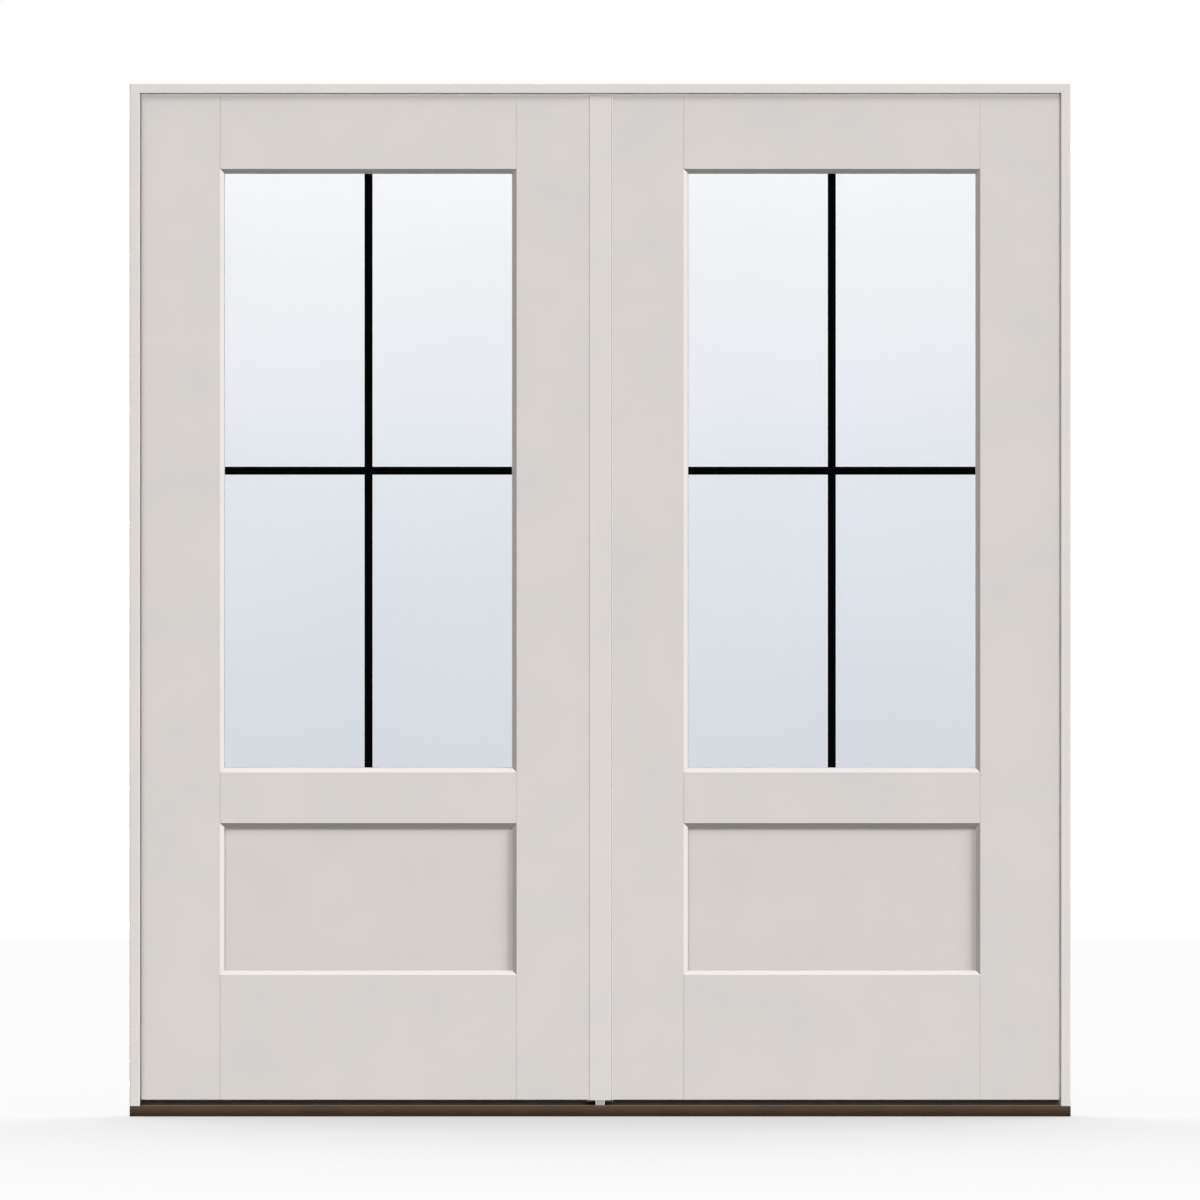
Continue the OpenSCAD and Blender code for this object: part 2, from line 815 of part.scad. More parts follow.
module astragal_screws() {
    color("#b9b9b6") post_screw_set(0);
}

module top_bolt() {
    bolt(leaf_z1, 1);
}

module bottom_bolt() {
    bolt(leaf_z0, -1);
}

jamb("passive");  // left_jamb
jamb("active");  // right_jamb
head_jamb();
sill_deck();
sill_core();
threshold_riser();
sill_strike();
head_strike();
weatherstrip("passive");  // left_weatherstrip
weatherstrip("active");  // right_weatherstrip
head_weatherstrip();
hinge_pins();
jamb_hinge_screws();
for (s = SIDES) for (i = [0:2]) {
    hinge_jamb_plate(s, i);
    hinge_door_plate(s, i);
}
// Leaf nodes
for (s = SIDES) {
    hinge_stile(s);
    meeting_stile(s);
    top_rail(s);
    lock_rail(s);
    bottom_rail(s);
    panel(s);
    pane(s, pane_y0);
    pane(s, pane_y1);
    spacer(s);
    grille_upright(s);
    grille_crossbar(s);
    glazing_beads(s);
    glazing_tape(s);
    sweep(s);
    hinge_screws(s);
}
// Centre post and bolts
astragal_post();
astragal_seal();
astragal_screws();
top_bolt();
bottom_bolt();
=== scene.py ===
import math

import bmesh
import bpy
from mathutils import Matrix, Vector


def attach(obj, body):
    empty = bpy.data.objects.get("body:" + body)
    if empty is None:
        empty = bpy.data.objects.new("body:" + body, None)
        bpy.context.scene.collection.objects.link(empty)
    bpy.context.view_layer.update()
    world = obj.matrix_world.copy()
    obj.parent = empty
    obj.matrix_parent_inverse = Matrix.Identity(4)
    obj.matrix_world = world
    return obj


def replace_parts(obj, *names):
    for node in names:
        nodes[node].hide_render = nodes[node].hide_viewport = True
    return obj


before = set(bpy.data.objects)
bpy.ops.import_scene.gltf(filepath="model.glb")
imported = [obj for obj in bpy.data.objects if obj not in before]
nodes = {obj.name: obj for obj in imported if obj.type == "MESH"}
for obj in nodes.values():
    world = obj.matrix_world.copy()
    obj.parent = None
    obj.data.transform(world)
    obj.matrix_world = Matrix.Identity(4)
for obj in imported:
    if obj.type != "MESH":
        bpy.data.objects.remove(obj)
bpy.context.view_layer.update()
scene = bpy.context.scene
scene.view_settings.view_transform = "Standard"
# The lamps and the studio light each face by themselves, so that hollows and undersides stay dark.
scene.cycles.diffuse_bounces = 0

MM = 0.001
SIDES = ("passive", "active")
PLACES = ("top", "middle", "bottom")


def linear(hex_colour):
    """An sRGB hex colour as the linear colour that a shader takes."""
    parts = [int(hex_colour[i:i + 2], 16) / 255 for i in (1, 3, 5)]
    return (*[c / 12.92 if c <= 0.04045 else ((c + 0.055) / 1.055) ** 2.4 for c in parts], 1.0)


def add(tree, kind, sockets=None, **settings):
    """Adds a node of a kind, with its settings. sockets maps an input's name or number to a value or to the
    output that feeds it."""
    made = tree.nodes.new(kind)
    for name, value in settings.items():
        setattr(made, name, value)
    for key, value in (sockets or {}).items():
        if isinstance(value, bpy.types.NodeSocket):
            tree.links.new(value, made.inputs[key])
        else:
            made.inputs[key].default_value = value
    return made


def start(name, **sockets):
    """A new material with its shader, whose constant sockets are set here. Returns material, tree, shader."""
    material = bpy.data.materials.new(name)
    material.use_nodes = True
    tree = material.node_tree
    shader = tree.nodes["Principled BSDF"]
    for key, value in sockets.items():
        shader.inputs[key.replace("_", " ")].default_value = value
    return material, tree, shader


def per_mm(size):
    """The scale of a noise whose features are about this many millimetres wide."""
    return 1 / (size * MM)


# Finishes

def painted_timber(name, cool, warm, along):
    """Satin paint, sprayed on planed timber: a warm light grey that clouds faintly over a hand's width,
    with a fine orange peel, and the grain just telling through it along the piece."""
    material, tree, shader = start(name, IOR=1.46)
    where = add(tree, "ShaderNodeTexCoord")
    cloud = add(tree, "ShaderNodeTexNoise", {
        "Vector": where.outputs["Object"], "Scale": per_mm(150), "Detail": 3.0, "Roughness": 0.55})
    tint = add(tree, "ShaderNodeValToRGB", {"Fac": cloud.outputs["Fac"]})
    for stop, place, colour in zip(tint.color_ramp.elements, (0.36, 0.64), (cool, warm)):
        stop.position, stop.color = place, linear(colour)
    tree.links.new(tint.outputs["Color"], shader.inputs["Base Color"])
    # grain 3 mm wide and about 120 mm long, drawn a little coarser than real grain so that it shows
    squeeze = [1.0, 1.0, 1.0]
    squeeze["XYZ".index(along)] = 1 / 40
    stretch = add(tree, "ShaderNodeMapping", {"Vector": where.outputs["Object"], "Scale": squeeze})
    grain = add(tree, "ShaderNodeTexNoise", {
        "Vector": stretch.outputs["Vector"], "Scale": per_mm(3), "Detail": 2.0})
    peel = add(tree, "ShaderNodeTexNoise", {
        "Vector": where.outputs["Object"], "Scale": per_mm(1.6), "Detail": 1.0})
    grain_bump = add(tree, "ShaderNodeBump", {
        "Height": grain.outputs["Fac"], "Strength": 0.2, "Distance": 0.15 * MM})
    peel_bump = add(tree, "ShaderNodeBump", {
        "Height": peel.outputs["Fac"], "Strength": 0.25, "Distance": 0.08 * MM,
        "Normal": grain_bump.outputs["Normal"]})
    tree.links.new(peel_bump.outputs["Normal"], shader.inputs["Normal"])
    sheen = add(tree, "ShaderNodeMapRange", {
        "Value": cloud.outputs["Fac"], "From Min": 0.3, "From Max": 0.7, "To Min": 0.38, "To Max": 0.47})
    tree.links.new(sheen.outputs["Result"], shader.inputs["Roughness"])
    return material


def bronze_anodised(name, dark, light):
    """Extruded aluminium, anodised dark bronze: a brown metal with fine die lines along its length that
    catch the light, and faint paler patches of wear."""
    material, tree, shader = start(name, Metallic=0.35, Specular_IOR_Level=0.3)
    where = add(tree, "ShaderNodeTexCoord")
    stretch = add(tree, "ShaderNodeMapping", {"Vector": where.outputs["Object"], "Scale": (1 / 300, 1, 1)})
    lines = add(tree, "ShaderNodeTexNoise", {
        "Vector": stretch.outputs["Vector"], "Scale": per_mm(0.9), "Detail": 3.0, "Roughness": 0.7})
    cloud = add(tree, "ShaderNodeTexNoise", {
        "Vector": where.outputs["Object"], "Scale": per_mm(70), "Detail": 4.0})
    mixed = add(tree, "ShaderNodeMix", {
        "Factor": 0.45, "A": lines.outputs["Fac"], "B": cloud.outputs["Fac"]})
    tint = add(tree, "ShaderNodeValToRGB", {"Fac": mixed.outputs["Result"]})
    for stop, place, colour in zip(tint.color_ramp.elements, (0.32, 0.68), (dark, light)):
        stop.position, stop.color = place, linear(colour)
    tree.links.new(tint.outputs["Color"], shader.inputs["Base Color"])
    rough = add(tree, "ShaderNodeMapRange", {
        "Value": mixed.outputs["Result"], "From Min": 0.3, "From Max": 0.7, "To Min": 0.40, "To Max": 0.55})
    tree.links.new(rough.outputs["Result"], shader.inputs["Roughness"])
    bump = add(tree, "ShaderNodeBump", {
        "Height": lines.outputs["Fac"], "Strength": 0.25, "Distance": 0.1 * MM})
    tree.links.new(bump.outputs["Normal"], shader.inputs["Normal"])
    return material


def flecked_composite(name, pale, brown):
    """Wood-filled composite, sawn: a dull brown-grey block with pale fibres that lie along it."""
    material, tree, shader = start(name, Roughness=0.85)
    where = add(tree, "ShaderNodeTexCoord")
    stretch = add(tree, "ShaderNodeMapping", {"Vector": where.outputs["Object"], "Scale": (1 / 8, 1, 1)})
    fibre = add(tree, "ShaderNodeTexVoronoi", {"Vector": stretch.outputs["Vector"], "Scale": per_mm(2.2)})
    tint = add(tree, "ShaderNodeValToRGB", {"Fac": fibre.outputs["Distance"]})
    for stop, place, colour in zip(tint.color_ramp.elements, (0.05, 0.55), (pale, brown)):
        stop.position, stop.color = place, linear(colour)
    tree.links.new(tint.outputs["Color"], shader.inputs["Base Color"])
    bump = add(tree, "ShaderNodeBump", {
        "Height": fibre.outputs["Distance"], "Strength": 0.4, "Distance": 0.25 * MM})
    tree.links.new(bump.outputs["Normal"], shader.inputs["Normal"])
    return material


def grained_polymer(name, dark, light, roughness, grit, shine=0.5):
    """Moulded or extruded polymer: an even, dull colour with a fine spark-eroded grain of the given width
    in mm."""
    material, tree, shader = start(name, Roughness=roughness, IOR=1.5, Specular_IOR_Level=shine)
    where = add(tree, "ShaderNodeTexCoord")
    grain = add(tree, "ShaderNodeTexNoise", {
        "Vector": where.outputs["Object"], "Scale": per_mm(grit), "Detail": 2.0})
    cloud = add(tree, "ShaderNodeTexNoise", {
        "Vector": where.outputs["Object"], "Scale": per_mm(25), "Detail": 3.0})
    tint = add(tree, "ShaderNodeValToRGB", {"Fac": cloud.outputs["Fac"]})
    for stop, place, colour in zip(tint.color_ramp.elements, (0.35, 0.65), (dark, light)):
        stop.position, stop.color = place, linear(colour)
    tree.links.new(tint.outputs["Color"], shader.inputs["Base Color"])
    bump = add(tree, "ShaderNodeBump", {
        "Height": grain.outputs["Fac"], "Strength": 0.3, "Distance": 0.12 * MM})
    tree.links.new(bump.outputs["Normal"], shader.inputs["Normal"])
    return material


def satin_metal(name, dark, light, roughness, along):
    """Plated steel, brushed along one way: a warm grey metal with fine lines in its shine."""
    material, tree, shader = start(name, Metallic=1.0)
    where = add(tree, "ShaderNodeTexCoord")
    squeeze = [1.0, 1.0, 1.0]
    squeeze["XYZ".index(along)] = 1 / 60
    stretch = add(tree, "ShaderNodeMapping", {"Vector": where.outputs["Object"], "Scale": squeeze})
    # brush lines 0.3 mm wide, coarser than the real ones so that they show
    lines = add(tree, "ShaderNodeTexNoise", {
        "Vector": stretch.outputs["Vector"], "Scale": per_mm(0.3), "Detail": 2.0})
    tint = add(tree, "ShaderNodeValToRGB", {"Fac": lines.outputs["Fac"]})
    for stop, place, colour in zip(tint.color_ramp.elements, (0.3, 0.7), (dark, light)):
        stop.position, stop.color = place, linear(colour)
    tree.links.new(tint.outputs["Color"], shader.inputs["Base Color"])
    rough = add(tree, "ShaderNodeMapRange", {
        "Value": lines.outputs["Fac"], "From Min": 0.3, "From Max": 0.7,
        "To Min": roughness - 0.06, "To Max": roughness + 0.08})
    tree.links.new(rough.outputs["Result"], shader.inputs["Roughness"])
    bump = add(tree, "ShaderNodeBump", {
        "Height": lines.outputs["Fac"], "Strength": 0.15, "Distance": 0.05 * MM})
    tree.links.new(bump.outputs["Normal"], shader.inputs["Normal"])
    return material


def float_glass(name, green, clear):
    """Float glass, drawn flat on molten tin: clear, with a sharp reflection and a green-blue tint so faint
    that only its edges show it."""
    material, tree, shader = start(name, Transmission_Weight=1.0, Roughness=0.0, IOR=1.52)
    where = add(tree, "ShaderNodeTexCoord")
    wave = add(tree, "ShaderNodeTexNoise", {
        "Vector": where.outputs["Object"], "Scale": per_mm(400), "Detail": 0.0})
    tint = add(tree, "ShaderNodeValToRGB", {"Fac": wave.outputs["Fac"]})
    for stop, place, colour in zip(tint.color_ramp.elements, (0.3, 0.7), (green, clear)):
        stop.position, stop.color = place, linear(colour)
    tree.links.new(tint.outputs["Color"], shader.inputs["Base Color"])
    return material


def perforated_spacer(name, hole, silver):
    """Roll-formed aluminium spacer with a mill finish and a row of pin holes that lets the drying grains
    inside it breathe: dull silver with dark dots 6 mm apart."""
    material, tree, shader = start(name, Metallic=0.9, Roughness=0.4)
    where = add(tree, "ShaderNodeTexCoord")
    cells = add(tree, "ShaderNodeTexVoronoi", {
        "Vector": where.outputs["Object"], "Scale": per_mm(6), "Randomness": 0.0})
    tint = add(tree, "ShaderNodeValToRGB", {"Fac": cells.outputs["Distance"]})
    for stop, place, colour in zip(tint.color_ramp.elements, (0.10, 0.16), (hole, silver)):
        stop.position, stop.color = place, linear(colour)
    tree.links.new(tint.outputs["Color"], shader.inputs["Base Color"])
    return material


leaf_upright = painted_timber("satin_paint_on_upright_timber", "#d5d1ce", "#d9d3ce", "Z")
leaf_level = painted_timber("satin_paint_on_level_timber", "#d5d1ce", "#d9d3ce", "X")
panel_paint = painted_timber("satin_paint_on_flat_panel", "#d5cfc9", "#d7d1ca", "Z")
jamb_paint = painted_timber("satin_paint_on_jambs", "#dbd7d4", "#dfd9d4", "Z")
head_paint = painted_timber("satin_paint_on_head", "#dbd7d4", "#dfd9d4", "X")
post_paint = painted_timber("satin_paint_on_centre_post", "#d9d5d2", "#ddd7d2", "Z")
# painted shade: a darker paint for thin strips that stand in for the shadow lines at the joints
joint_shade_paint = painted_timber("painted_shade_in_joints", "#ccc7c3", "#d1cbc6", "Z")
sill_bronze = bronze_anodised("bronze_anodised_sill", "#423328", "#513f31")
# The ribs' bronze is paler than the sill's: a painted highlight along the sill's top front edge.
rib_highlight_bronze = bronze_anodised("bronze_worn_on_ribs", "#6a5544", "#7d6654")
core_composite = flecked_composite("sawn_composite_core", "#a79a86", "#766b5c")
riser_vinyl = grained_polymer("dark_vinyl_riser", "#39352f", "#423e37", 0.55, 0.5)
strike_polymer = grained_polymer("moulded_grey_strike", "#aeaaa6", "#b6b2ae", 0.5, 0.6)
strip_skin = grained_polymer("weatherstrip_skin", "#a9a5a1", "#b3afab", 0.6, 0.8)
fin_polymer = grained_polymer("pale_fin_seal", "#c9c5c1", "#d1cdc9", 0.6, 0.8)
seal_rubber = grained_polymer("grey_seal_rubber", "#74716e", "#827f7b", 0.7, 0.5)
sweep_rubber = grained_polymer("dark_sweep_rubber", "#35322d", "#3e3a34", 0.75, 0.5)
tape_foam = grained_polymer("grey_glazing_tape", "#c2c1be", "#cdccc9", 0.8, 0.7)
grille_coat = grained_polymer("black_powder_coat", "#010303", "#040606", 0.5, 0.7, 0.0)
nickel_upright = satin_metal("satin_nickel_brushed_upright", "#9c9a95", "#b4b2ad", 0.33, "Z")
nickel_level = satin_metal("satin_nickel_brushed_level", "#9c9a95", "#b4b2ad", 0.33, "X")
bolt_steel = satin_metal("zinc_plated_steel", "#b0b0ad", "#c2c2bf", 0.28, "Z")
spacer_mill = perforated_spacer("mill_finish_spacer", "#4c4c4b", "#a3a3a0")
pane_glass = float_glass("clear_float_glass", "#fdfefe", "#feffff")

FINISH = {
    "left_jamb": jamb_paint, "right_jamb": jamb_paint, "head_jamb": head_paint,
    "sill_deck": sill_bronze, "sill_core": core_composite, "threshold_riser": riser_vinyl,
    "sill_strike": strike_polymer, "head_strike": strike_polymer,
    "left_weatherstrip": strip_skin, "right_weatherstrip": strip_skin, "head_weatherstrip": strip_skin,
    "hinge_pins": nickel_upright, "jamb_hinge_screws": nickel_level,
    "astragal_post": post_paint, "astragal_seal": seal_rubber, "astragal_screws": bolt_steel,
    "top_bolt": bolt_steel, "bottom_bolt": bolt_steel,
}
for side in SIDES:
    for place in PLACES:
        FINISH[f"{side}_{place}_hinge_jamb_plate"] = nickel_upright
        FINISH[f"{side}_{place}_hinge_door_plate"] = nickel_upright
    FINISH.update({f"{side}_{name}": finish for name, finish in {
        "hinge_stile": leaf_upright, "meeting_stile": leaf_upright, "top_rail": leaf_level,
        "lock_rail": leaf_level, "bottom_rail": leaf_level, "panel": panel_paint,
        "outer_pane": pane_glass, "inner_pane": pane_glass, "spacer": spacer_mill,
        "grille_upright": grille_coat, "grille_crossbar": grille_coat,
        "glazing_beads": leaf_upright, "glazing_tape": tape_foam, "sweep": sweep_rubber,
        "hinge_screws": nickel_level}.items()})
for name, finish in FINISH.items():
    slots = nodes[name].material_slots
    if not slots:
        nodes[name].data.materials.append(finish)
    for slot in slots:
        slot.material = finish


# Screws

HEAD_SIDES = 40
SHANK_SIDES = 20
# the cross's length as a share of the head's radius, and its height as a share of the head's depth
CROSS_LENGTH = 1.15
CROSS_HEIGHT = 1.1


def screw_tree():
    """A tree that sets a cross-recessed screw on each spot, with its head's top at the spot."""
    tree = bpy.data.node_groups.new("cross_recessed_screws", "GeometryNodeTree")
    face = tree.interface
    face.new_socket("Spots", in_out="INPUT", socket_type="NodeSocketGeometry")
    for size in ("Head radius", "Neck radius", "Head depth",
                 "Shank radius", "Shank length", "Recess width"):
        face.new_socket(size, in_out="INPUT", socket_type="NodeSocketFloat")
    face.new_socket("Finish", in_out="INPUT", socket_type="NodeSocketMaterial")
    face.new_socket("Screws", in_out="OUTPUT", socket_type="NodeSocketGeometry")
    given = add(tree, "NodeGroupInput").outputs
    head = add(tree, "GeometryNodeMeshCone", {
        "Vertices": HEAD_SIDES, "Radius Top": given["Head radius"], "Radius Bottom": given["Neck radius"],
        "Depth": given["Head depth"]})
    sunk = add(tree, "ShaderNodeMath", {0: given["Head depth"], 1: -1.0}, operation="MULTIPLY")
    sunk = add(tree, "ShaderNodeCombineXYZ", {"Z": sunk.outputs["Value"]})
    head = add(tree, "GeometryNodeTransform", {
        "Geometry": head.outputs["Mesh"], "Translation": sunk.outputs["Vector"]})
    arm = add(tree, "ShaderNodeMath", {0: given["Head radius"], 1: CROSS_LENGTH}, operation="MULTIPLY")
    deep = add(tree, "ShaderNodeMath", {0: given["Head depth"], 1: CROSS_HEIGHT}, operation="MULTIPLY")
    long, narrow = arm.outputs["Value"], given["Recess width"]
    bars = []
    for x, y in ((long, narrow), (narrow, long)):
        size = add(tree, "ShaderNodeCombineXYZ", {"X": x, "Y": y, "Z": deep.outputs["Value"]})
        bars.append(add(tree, "GeometryNodeMeshCube", {"Size": size.outputs["Vector"]}))
    cross = add(tree, "GeometryNodeMeshBoolean", operation="UNION")
    for bar in bars:
        tree.links.new(bar.outputs["Mesh"], cross.inputs["Mesh 2"])
    slotted = add(tree, "GeometryNodeMeshBoolean", {
        "Mesh 1": head.outputs["Geometry"], "Mesh 2": cross.outputs["Mesh"]}, operation="DIFFERENCE")
    shank = add(tree, "GeometryNodeMeshCylinder", {
        "Vertices": SHANK_SIDES, "Radius": given["Shank radius"], "Depth": given["Shank length"]})
    half = add(tree, "ShaderNodeMath", {0: given["Shank length"], 1: -0.5}, operation="MULTIPLY")
    low = add(tree, "ShaderNodeMath", {
        0: half.outputs["Value"], 1: given["Head depth"]}, operation="SUBTRACT")
    low = add(tree, "ShaderNodeCombineXYZ", {"Z": low.outputs["Value"]})
    shank = add(tree, "GeometryNodeTransform", {
        "Geometry": shank.outputs["Mesh"], "Translation": low.outputs["Vector"]})
    screw = add(tree, "GeometryNodeJoinGeometry")
    for part in (slotted.outputs["Mesh"], shank.outputs["Geometry"]):
        tree.links.new(part, screw.inputs["Geometry"])
    facing = add(tree, "GeometryNodeInputNamedAttribute", {"Name": "facing"}, data_type="FLOAT_VECTOR")
    turn = add(tree, "FunctionNodeAlignRotationToVector", {
        "Vector": facing.outputs["Attribute"]}, axis="Z")
    placed = add(tree, "GeometryNodeInstanceOnPoints", {
        "Points": given["Spots"], "Instance": screw.outputs["Geometry"],
        "Rotation": turn.outputs["Rotation"]})
    real = add(tree, "GeometryNodeRealizeInstances", {"Geometry": placed.outputs["Instances"]})
    done = add(tree, "GeometryNodeSetMaterial", {
        "Geometry": real.outputs["Geometry"], "Material": given["Finish"]})
    add(tree, "NodeGroupOutput", {"Screws": done.outputs["Geometry"]})
    return tree


# corners closer than this, in metres, are one, and those past this share of the greatest radius are the rim
SAME_CORNER = 1e-6
RIM = 0.999


def screw_spots(node):
    """Where the node's solid screws have the middle of their heads, and which way along X those face."""
    mesh = bmesh.new()
    mesh.from_mesh(nodes[node].data)
    bmesh.ops.remove_doubles(mesh, verts=mesh.verts, dist=SAME_CORNER)
    left, spots = set(mesh.verts), []
    while left:
        # one screw: all the corners that edges join to this one
        found, edge = [], [left.pop()]
        while edge:
            v = edge.pop()
            found.append(v.co.copy())
            for e in v.link_edges:
                other = e.other_vert(v)
                if other in left:
                    left.remove(other)
                    edge.append(other)
        lo = Vector([min(c[i] for c in found) for i in range(3)])
        hi = Vector([max(c[i] for c in found) for i in range(3)])
        mid = (lo + hi) / 2
        out = {c.x: math.hypot(c.y - mid.y, c.z - mid.z) for c in found}
        head = max(out.values())
        widest = [x for x, r in out.items() if r > RIM * head]
        way = 1 if widest[0] > mid.x else -1
        spots.append((Vector((hi.x if way > 0 else lo.x, mid.y, mid.z)), Vector((way, 0, 0))))
    mesh.free()
    return spots


def grown(name, mesh, tree, values, body):
    """The piece that a tree grows on a mesh, with the tree's named inputs set to the given values."""
    carrier = bpy.data.objects.new(name + "_carrier", mesh)
    scene.collection.objects.link(carrier)
    modifier = carrier.modifiers.new("grown", "NODES")
    modifier.node_group = tree
    for item in tree.interface.items_tree:
        if item.in_out == "INPUT" and item.name in values:
            modifier[item.identifier] = values[item.name]
    bpy.context.view_layer.update()
    settled = carrier.evaluated_get(bpy.context.evaluated_depsgraph_get())
    made = bpy.data.objects.new(name, bpy.data.meshes.new_from_object(settled))
    bpy.data.objects.remove(carrier)
    scene.collection.objects.link(made)
    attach(made, body)
    return made


def screws(name, node, body, tree, finish, sizes):
    """Cross-recessed screws in place of the node's plain ones, with their sizes in mm."""
    spots = screw_spots(node)
    mesh = bpy.data.meshes.new(name)
    mesh.from_pydata([p for p, _ in spots], [], [])
    facing = mesh.attributes.new("facing", "FLOAT_VECTOR", "POINT")
    for i, (_, way) in enumerate(spots):
        facing.data[i].vector = way
    values = {size: value * MM for size, value in sizes.items()}
    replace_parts(grown(name, mesh, tree, {**values, "Finish": finish}, body), node)


COUNTERSUNK = {
    "Head radius": 4.3, "Neck radius": 2.3, "Head depth": 2.0, "Shank radius": 2.3, "Recess width": 1.1}
FLAT = {
    "Head radius": 4.3, "Neck radius": 4.3, "Head depth": 3.0, "Shank radius": 2.5, "Recess width": 1.2}
tree = screw_tree()
screws("jamb_screws", "jamb_hinge_screws", "frame", tree, nickel_level,
       {**COUNTERSUNK, "Shank length": 9.5})
for side in SIDES:
    screws(f"{side}_leaf_screws", f"{side}_hinge_screws", f"{side}_leaf", tree, nickel_level,
           {**COUNTERSUNK, "Shank length": 28.0})
screws("post_screws", "astragal_screws", "passive_leaf", tree, bolt_steel, {**FLAT, "Shank length": 40.0})


# Ribs on the sill

RIB_SIDES = 24


def rib_tree():
    """A tree that lays a row of half-sunk round ribs along the width, one behind the other."""
    tree = bpy.data.node_groups.new("sill_ribs", "GeometryNodeTree")
    face = tree.interface
    face.new_socket("Ribs", in_out="INPUT", socket_type="NodeSocketInt")
    for size in ("Rib length", "Rib radius", "First rib", "Pitch", "Deck height"):
        face.new_socket(size, in_out="INPUT", socket_type="NodeSocketFloat")
    face.new_socket("Finish", in_out="INPUT", socket_type="NodeSocketMaterial")
    face.new_socket("Ribbed", in_out="OUTPUT", socket_type="NodeSocketGeometry")
    given = add(tree, "NodeGroupInput").outputs
    first = add(tree, "ShaderNodeCombineXYZ", {"Y": given["First rib"], "Z": given["Deck height"]})
    step = add(tree, "ShaderNodeCombineXYZ", {"Y": given["Pitch"]})
    row = add(tree, "GeometryNodeMeshLine", {
        "Count": given["Ribs"], "Start Location": first.outputs["Vector"],
        "Offset": step.outputs["Vector"]})
    rib = add(tree, "GeometryNodeMeshCylinder", {
        "Vertices": RIB_SIDES, "Radius": given["Rib radius"], "Depth": given["Rib length"]})
    placed = add(tree, "GeometryNodeInstanceOnPoints", {
        "Points": row.outputs["Mesh"], "Instance": rib.outputs["Mesh"], "Rotation": (0, math.pi / 2, 0)})
    real = add(tree, "GeometryNodeRealizeInstances", {"Geometry": placed.outputs["Instances"]})
    done = add(tree, "GeometryNodeSetMaterial", {
        "Geometry": real.outputs["Geometry"], "Material": given["Finish"]})
    add(tree, "NodeGroupOutput", {"Ribbed": done.outputs["Geometry"]})
    return tree


# five ribs between the nose and the strike, which end short of the side weatherstrips
# their paler bronze is a painted highlight along the sill's top front edge
grown("sill_ribs", bpy.data.meshes.new("sill_ribs"), rib_tree(), {
    "Ribs": 5, "Rib length": 1835 * MM, "Rib radius": 0.9 * MM, "First rib": -31 * MM, "Pitch": 4 * MM,
    "Deck height": 21.1 * MM, "Finish": rib_highlight_bronze}, "frame")


# Seals at the centre strip, and painted shade in the joints, with sizes and places in mm

def blocks(name, body, finish, boxes):
    """One piece made of boxes, each given by its lowest and highest corner in mm."""
    mesh = bmesh.new()
    for low, high in boxes:
        made = bmesh.ops.create_cube(mesh, size=1.0)["verts"]
        for v in made:
            v.co = Vector([(a if c < 0 else b) * MM for c, a, b in zip(v.co, low, high)])
    data = bpy.data.meshes.new(name)
    mesh.to_mesh(data)
    mesh.free()
    data.materials.append(finish)
    piece = bpy.data.objects.new(name, data)
    scene.collection.objects.link(piece)
    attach(piece, body)


# a pale fin on the strip's free edge, which ends just short of the other leaf
FIN = ((21.9, -11.3, 32.2), (24.6, -9.9, 2049))
blocks("meeting_fin", "passive_leaf", fin_polymer, [FIN])
# foam pads under the strip's foot, on both sides of the strike and in line with the sweeps' front
STRIKE_EDGE = 9.4
PAD_FRONT, PAD_FOOT, PAD_TOP = -9, 28.4, 31.95
PADS = [
    ((-25.3, PAD_FRONT, PAD_FOOT), (-STRIKE_EDGE, -1, PAD_TOP)),
    ((STRIKE_EDGE, PAD_FRONT, PAD_FOOT), (25.1, -5, PAD_TOP))]
blocks("foot_pads", "passive_leaf", sweep_rubber, PADS)

# Painted shade in the joints between stiles and rails: darker strips of paint a hair proud of the face, in
# place of the joints' shadow lines. The joints' distance from the middle of the doors, the rails' lower and
# upper edges, and the section of the line
JOINTS = (761, 167)
RAILS = ((33.2, 282), (587, 688), (1896.5, 2050.8))
LEAF_FACE, PROUD, SUNK, HALF_LINE = -11.5, 0.05, 0.2, 0.5
for side, way in zip(SIDES, (-1, 1)):
    blocks(f"{side}_joint_lines", f"{side}_leaf", joint_shade_paint, [
        ((way * x - HALF_LINE, LEAF_FACE - PROUD, low), (way * x + HALF_LINE, LEAF_FACE + SUNK, high))
        for x in JOINTS for low, high in RAILS])


# Stage: a pale floor, soft daylight from the upper right, a lamp for the inside, and a white studio

FLOOR_REACH = 14.0
FLOOR_DROP = 0.5 * MM
# how much of its white the floor gives off by itself, and how much of that shows in metal and paint
FLOOR_GLOW = 0.65
FLOOR_GLEAM = 0.35
WHITE = (1.0, 1.0, 1.0, 1.0)

# To the eye, and in glass and metal, the floor is white with the doors' shadow on it. It throws little
# light back, so that the undersides of the mouldings stay dark.
floor_finish, tree, shader = start("pale_matt_floor", Roughness=0.9, Specular_IOR_Level=0.0)
ray = add(tree, "ShaderNodeLightPath")
gleam = add(tree, "ShaderNodeMath", {
    0: ray.outputs["Is Glossy Ray"], 1: FLOOR_GLEAM}, operation="MULTIPLY")
seen = add(tree, "ShaderNodeMath", {
    0: ray.outputs["Is Camera Ray"], 1: gleam.outputs["Value"]}, operation="MAXIMUM")
seen = add(tree, "ShaderNodeMath", {
    0: seen.outputs["Value"], 1: ray.outputs["Is Transmission Ray"]}, operation="MAXIMUM")
glow = add(tree, "ShaderNodeMath", {0: seen.outputs["Value"], 1: FLOOR_GLOW}, operation="MULTIPLY")
